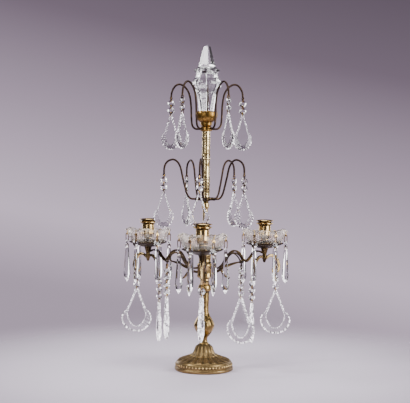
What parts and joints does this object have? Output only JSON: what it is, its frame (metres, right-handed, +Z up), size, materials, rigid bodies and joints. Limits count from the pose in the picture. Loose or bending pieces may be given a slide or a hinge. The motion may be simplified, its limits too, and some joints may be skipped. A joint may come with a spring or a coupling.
{
  "type": "girandole candle holder",
  "caption": "Brass girandole candle holder with scrolled arms, glass drip bowls, wire crooks and hanging cut-glass drops.",
  "frame": {"origin": "middle of the foot's underside, on the stem's axis", "axes": "+Z up along the stem, -Y towards the front candle arm, +X to the right seen from the front"},
  "size_m": [0.3478, 0.3025, 0.648],
  "materials": {
    "brass": "aged gilt, dark in the hollows",
    "dark_wire": "oxidised dark brown",
    "crystal": "clear cut glass",
    "steel": "dull"
  },
  "bodies": {
    "stand": {"foot": "brass", "foot_nut": "steel", "tie_rod": "steel", "stem": "brass", "arm_hub": "brass", "lower_tube": "brass", "mid_crown_hub": "brass", "upper_tube": "brass", "finial_cup": "brass", "finial_glass": "crystal", "arch_scrolls": "brass", "mid_crooks": "dark_wire", "top_crooks": "dark_wire", "drip_saucers": "brass", "drip_bowls": "crystal", "bowl_pins": "brass", "candle_nozzles": "brass", "candle_arm_front": "brass", "candle_arm_right": "brass", "candle_arm_left": "brass"},
    "nozzle_insert_front": {"nozzle_insert_front": "brass"},
    "nozzle_insert_right": {"nozzle_insert_right": "brass"},
    "nozzle_insert_left": {"nozzle_insert_left": "brass"},
    "top_drop_1": {"top_drop_1": "crystal"},
    "top_drop_2": {"top_drop_2": "crystal"},
    "top_drop_3": {"top_drop_3": "crystal"},
    "top_drop_4": {"top_drop_4": "crystal"},
    "top_drop_5": {"top_drop_5": "crystal"},
    "mid_drop_1": {"mid_drop_1": "crystal"},
    "mid_drop_2": {"mid_drop_2": "crystal"},
    "mid_drop_3": {"mid_drop_3": "crystal"},
    "mid_drop_4": {"mid_drop_4": "crystal"},
    "mid_drop_5": {"mid_drop_5": "crystal"},
    "arm_drop_front": {"arm_drop_front": "crystal"},
    "arm_plaque_front": {"arm_plaque_front": "crystal"},
    "arm_plaque_right": {"arm_plaque_right": "crystal"},
    "arm_drop_right": {"arm_drop_right": "crystal"},
    "arm_plaque_left": {"arm_plaque_left": "crystal"},
    "arm_drop_left": {"arm_drop_left": "crystal"},
    "arch_drop_1": {"arch_drop_1": "crystal"},
    "arch_drop_2": {"arch_drop_2": "crystal"},
    "arch_drop_3": {"arch_drop_3": "crystal"},
    "prism_front_1": {"prism_front_1": "crystal"},
    "prism_front_2": {"prism_front_2": "crystal"},
    "prism_front_3": {"prism_front_3": "crystal"},
    "prism_front_4": {"prism_front_4": "crystal"},
    "prism_front_5": {"prism_front_5": "crystal"},
    "prism_front_6": {"prism_front_6": "crystal"},
    "prism_right_1": {"prism_right_1": "crystal"},
    "prism_right_2": {"prism_right_2": "crystal"},
    "prism_right_3": {"prism_right_3": "crystal"},
    "prism_right_4": {"prism_right_4": "crystal"},
    "prism_right_5": {"prism_right_5": "crystal"},
    "prism_right_6": {"prism_right_6": "crystal"},
    "prism_left_1": {"prism_left_1": "crystal"},
    "prism_left_2": {"prism_left_2": "crystal"},
    "prism_left_3": {"prism_left_3": "crystal"},
    "prism_left_4": {"prism_left_4": "crystal"},
    "prism_left_5": {"prism_left_5": "crystal"},
    "prism_left_6": {"prism_left_6": "crystal"}
  },
  "joints": [
    {"name": "nozzle_insert_front_lift", "type": "slide", "parent": "stand", "child": "nozzle_insert_front", "axis": [0, 0, 1], "range_m": [0, 0.045]},
    {"name": "nozzle_insert_right_lift", "type": "slide", "parent": "stand", "child": "nozzle_insert_right", "axis": [0, 0, 1], "range_m": [0, 0.045]},
    {"name": "nozzle_insert_left_lift", "type": "slide", "parent": "stand", "child": "nozzle_insert_left", "axis": [0, 0, 1], "range_m": [0, 0.045]},
    {"name": "top_drop_1_swing", "type": "hinge", "parent": "stand", "child": "top_drop_1", "pos_m": [0.04467, -0.06148, 0.543], "axis": [-0.809, -0.5878, 0], "range_deg": [-12, 25]},
    {"name": "top_drop_2_swing", "type": "hinge", "parent": "stand", "child": "top_drop_2", "pos_m": [0.07228, 0.02348, 0.543], "axis": [0.309, -0.9511, 0], "range_deg": [-12, 25]},
    {"name": "top_drop_3_swing", "type": "hinge", "parent": "stand", "child": "top_drop_3", "pos_m": [0, 0.076, 0.543], "axis": [1, 0, 0], "range_deg": [-12, 25]},
    {"name": "top_drop_4_swing", "type": "hinge", "parent": "stand", "child": "top_drop_4", "pos_m": [-0.07228, 0.02348, 0.543], "axis": [0.309, 0.9511, 0], "range_deg": [-12, 25]},
    {"name": "top_drop_5_swing", "type": "hinge", "parent": "stand", "child": "top_drop_5", "pos_m": [-0.04467, -0.06148, 0.543], "axis": [-0.809, 0.5878, 0], "range_deg": [-12, 25]},
    {"name": "mid_drop_1_swing", "type": "hinge", "parent": "stand", "child": "mid_drop_1", "pos_m": [-0.00878, -0.08354, 0.388], "axis": [-0.1045, -0.9945, 0], "range_deg": [-12, 12]},
    {"name": "mid_drop_2_swing", "type": "hinge", "parent": "stand", "child": "mid_drop_2", "pos_m": [0.07674, -0.03417, 0.388], "axis": [-0.4067, -0.9135, 0], "range_deg": [-10, 20]},
    {"name": "mid_drop_3_swing", "type": "hinge", "parent": "stand", "child": "mid_drop_3", "pos_m": [0.05621, 0.06242, 0.388], "axis": [0.7431, -0.6691, 0], "range_deg": [-10, 20]},
    {"name": "mid_drop_4_swing", "type": "hinge", "parent": "stand", "child": "mid_drop_4", "pos_m": [-0.042, 0.07275, 0.388], "axis": [0.866, 0.5, 0], "range_deg": [-10, 20]},
    {"name": "mid_drop_5_swing", "type": "hinge", "parent": "stand", "child": "mid_drop_5", "pos_m": [-0.08216, -0.01747, 0.388], "axis": [-0.2079, 0.9781, 0], "range_deg": [-10, 20]},
    {"name": "arm_drop_front_swing", "type": "hinge", "parent": "stand", "child": "arm_drop_front", "pos_m": [0, -0.167, 0.185], "axis": [0, -1, 0], "range_deg": [-12, 12]},
    {"name": "arm_plaque_front_swing", "type": "hinge", "parent": "stand", "child": "arm_plaque_front", "pos_m": [0, -0.11, 0.178], "axis": [-1, 0, 0], "range_deg": [-8, 8]},
    {"name": "arm_plaque_right_swing", "type": "hinge", "parent": "stand", "child": "arm_plaque_right", "pos_m": [0.14463, 0.0835, 0.185], "axis": [0, -1, 0], "range_deg": [-10, 15]},
    {"name": "arm_drop_right_swing", "type": "hinge", "parent": "stand", "child": "arm_drop_right", "pos_m": [0.09526, 0.055, 0.178], "axis": [0.5, -0.866, 0], "range_deg": [-8, 8]},
    {"name": "arm_plaque_left_swing", "type": "hinge", "parent": "stand", "child": "arm_plaque_left", "pos_m": [-0.14463, 0.0835, 0.185], "axis": [0, 1, 0], "range_deg": [-10, 15]},
    {"name": "arm_drop_left_swing", "type": "hinge", "parent": "stand", "child": "arm_drop_left", "pos_m": [-0.09526, 0.055, 0.178], "axis": [0.5, 0.866, 0], "range_deg": [-8, 8]},
    {"name": "arch_drop_1_swing", "type": "hinge", "parent": "stand", "child": "arch_drop_1", "pos_m": [0.07275, -0.042, 0.212], "axis": [-0.5, -0.866, 0], "range_deg": [-10, 12]},
    {"name": "arch_drop_2_swing", "type": "hinge", "parent": "stand", "child": "arch_drop_2", "pos_m": [0, 0.084, 0.212], "axis": [1, 0, 0], "range_deg": [-10, 12]},
    {"name": "arch_drop_3_swing", "type": "hinge", "parent": "stand", "child": "arch_drop_3", "pos_m": [-0.07275, -0.042, 0.212], "axis": [-0.5, 0.866, 0], "range_deg": [-10, 12]},
    {"name": "prism_front_1_swing", "type": "hinge", "parent": "stand", "child": "prism_front_1", "pos_m": [0.02175, -0.17667, 0.2666], "axis": [0.5, -0.866, 0], "range_deg": [-8, 8]},
    {"name": "prism_front_2_swing", "type": "hinge", "parent": "stand", "child": "prism_front_2", "pos_m": [0.0435, -0.139, 0.2666], "axis": [1, 0, 0], "range_deg": [-8, 8]},
    {"name": "prism_front_3_swing", "type": "hinge", "parent": "stand", "child": "prism_front_3", "pos_m": [0.02175, -0.10133, 0.2666], "axis": [0.5, 0.866, 0], "range_deg": [-8, 8]},
    {"name": "prism_front_4_swing", "type": "hinge", "parent": "stand", "child": "prism_front_4", "pos_m": [-0.02175, -0.10133, 0.2666], "axis": [-0.5, 0.866, 0], "range_deg": [-8, 8]},
    {"name": "prism_front_5_swing", "type": "hinge", "parent": "stand", "child": "prism_front_5", "pos_m": [-0.0435, -0.139, 0.2666], "axis": [-1, 0, 0], "range_deg": [-8, 8]},
    {"name": "prism_front_6_swing", "type": "hinge", "parent": "stand", "child": "prism_front_6", "pos_m": [-0.02175, -0.17667, 0.2666], "axis": [-0.5, -0.866, 0], "range_deg": [-8, 8]},
    {"name": "prism_right_1_swing", "type": "hinge", "parent": "stand", "child": "prism_right_1", "pos_m": [0.14213, 0.10717, 0.2666], "axis": [0.5, 0.866, 0], "range_deg": [-8, 8]},
    {"name": "prism_right_2_swing", "type": "hinge", "parent": "stand", "child": "prism_right_2", "pos_m": [0.09863, 0.10717, 0.2666], "axis": [-0.5, 0.866, 0], "range_deg": [-8, 8]},
    {"name": "prism_right_3_swing", "type": "hinge", "parent": "stand", "child": "prism_right_3", "pos_m": [0.07688, 0.0695, 0.2666], "axis": [-1, 0, 0], "range_deg": [-8, 8]},
    {"name": "prism_right_4_swing", "type": "hinge", "parent": "stand", "child": "prism_right_4", "pos_m": [0.09863, 0.03183, 0.2666], "axis": [-0.5, -0.866, 0], "range_deg": [-8, 8]},
    {"name": "prism_right_5_swing", "type": "hinge", "parent": "stand", "child": "prism_right_5", "pos_m": [0.14213, 0.03183, 0.2666], "axis": [0.5, -0.866, 0], "range_deg": [-8, 8]},
    {"name": "prism_right_6_swing", "type": "hinge", "parent": "stand", "child": "prism_right_6", "pos_m": [0.16388, 0.0695, 0.2666], "axis": [1, 0, 0], "range_deg": [-8, 8]},
    {"name": "prism_left_1_swing", "type": "hinge", "parent": "stand", "child": "prism_left_1", "pos_m": [-0.16388, 0.0695, 0.2666], "axis": [-1, 0, 0], "range_deg": [-8, 8]},
    {"name": "prism_left_2_swing", "type": "hinge", "parent": "stand", "child": "prism_left_2", "pos_m": [-0.14213, 0.03183, 0.2666], "axis": [-0.5, -0.866, 0], "range_deg": [-8, 8]},
    {"name": "prism_left_3_swing", "type": "hinge", "parent": "stand", "child": "prism_left_3", "pos_m": [-0.09863, 0.03183, 0.2666], "axis": [0.5, -0.866, 0], "range_deg": [-8, 8]},
    {"name": "prism_left_4_swing", "type": "hinge", "parent": "stand", "child": "prism_left_4", "pos_m": [-0.07688, 0.0695, 0.2666], "axis": [1, 0, 0], "range_deg": [-8, 8]},
    {"name": "prism_left_5_swing", "type": "hinge", "parent": "stand", "child": "prism_left_5", "pos_m": [-0.09863, 0.10717, 0.2666], "axis": [0.5, 0.866, 0], "range_deg": [-8, 8]},
    {"name": "prism_left_6_swing", "type": "hinge", "parent": "stand", "child": "prism_left_6", "pos_m": [-0.14213, 0.10717, 0.2666], "axis": [-0.5, 0.866, 0], "range_deg": [-8, 8]}
  ]
}
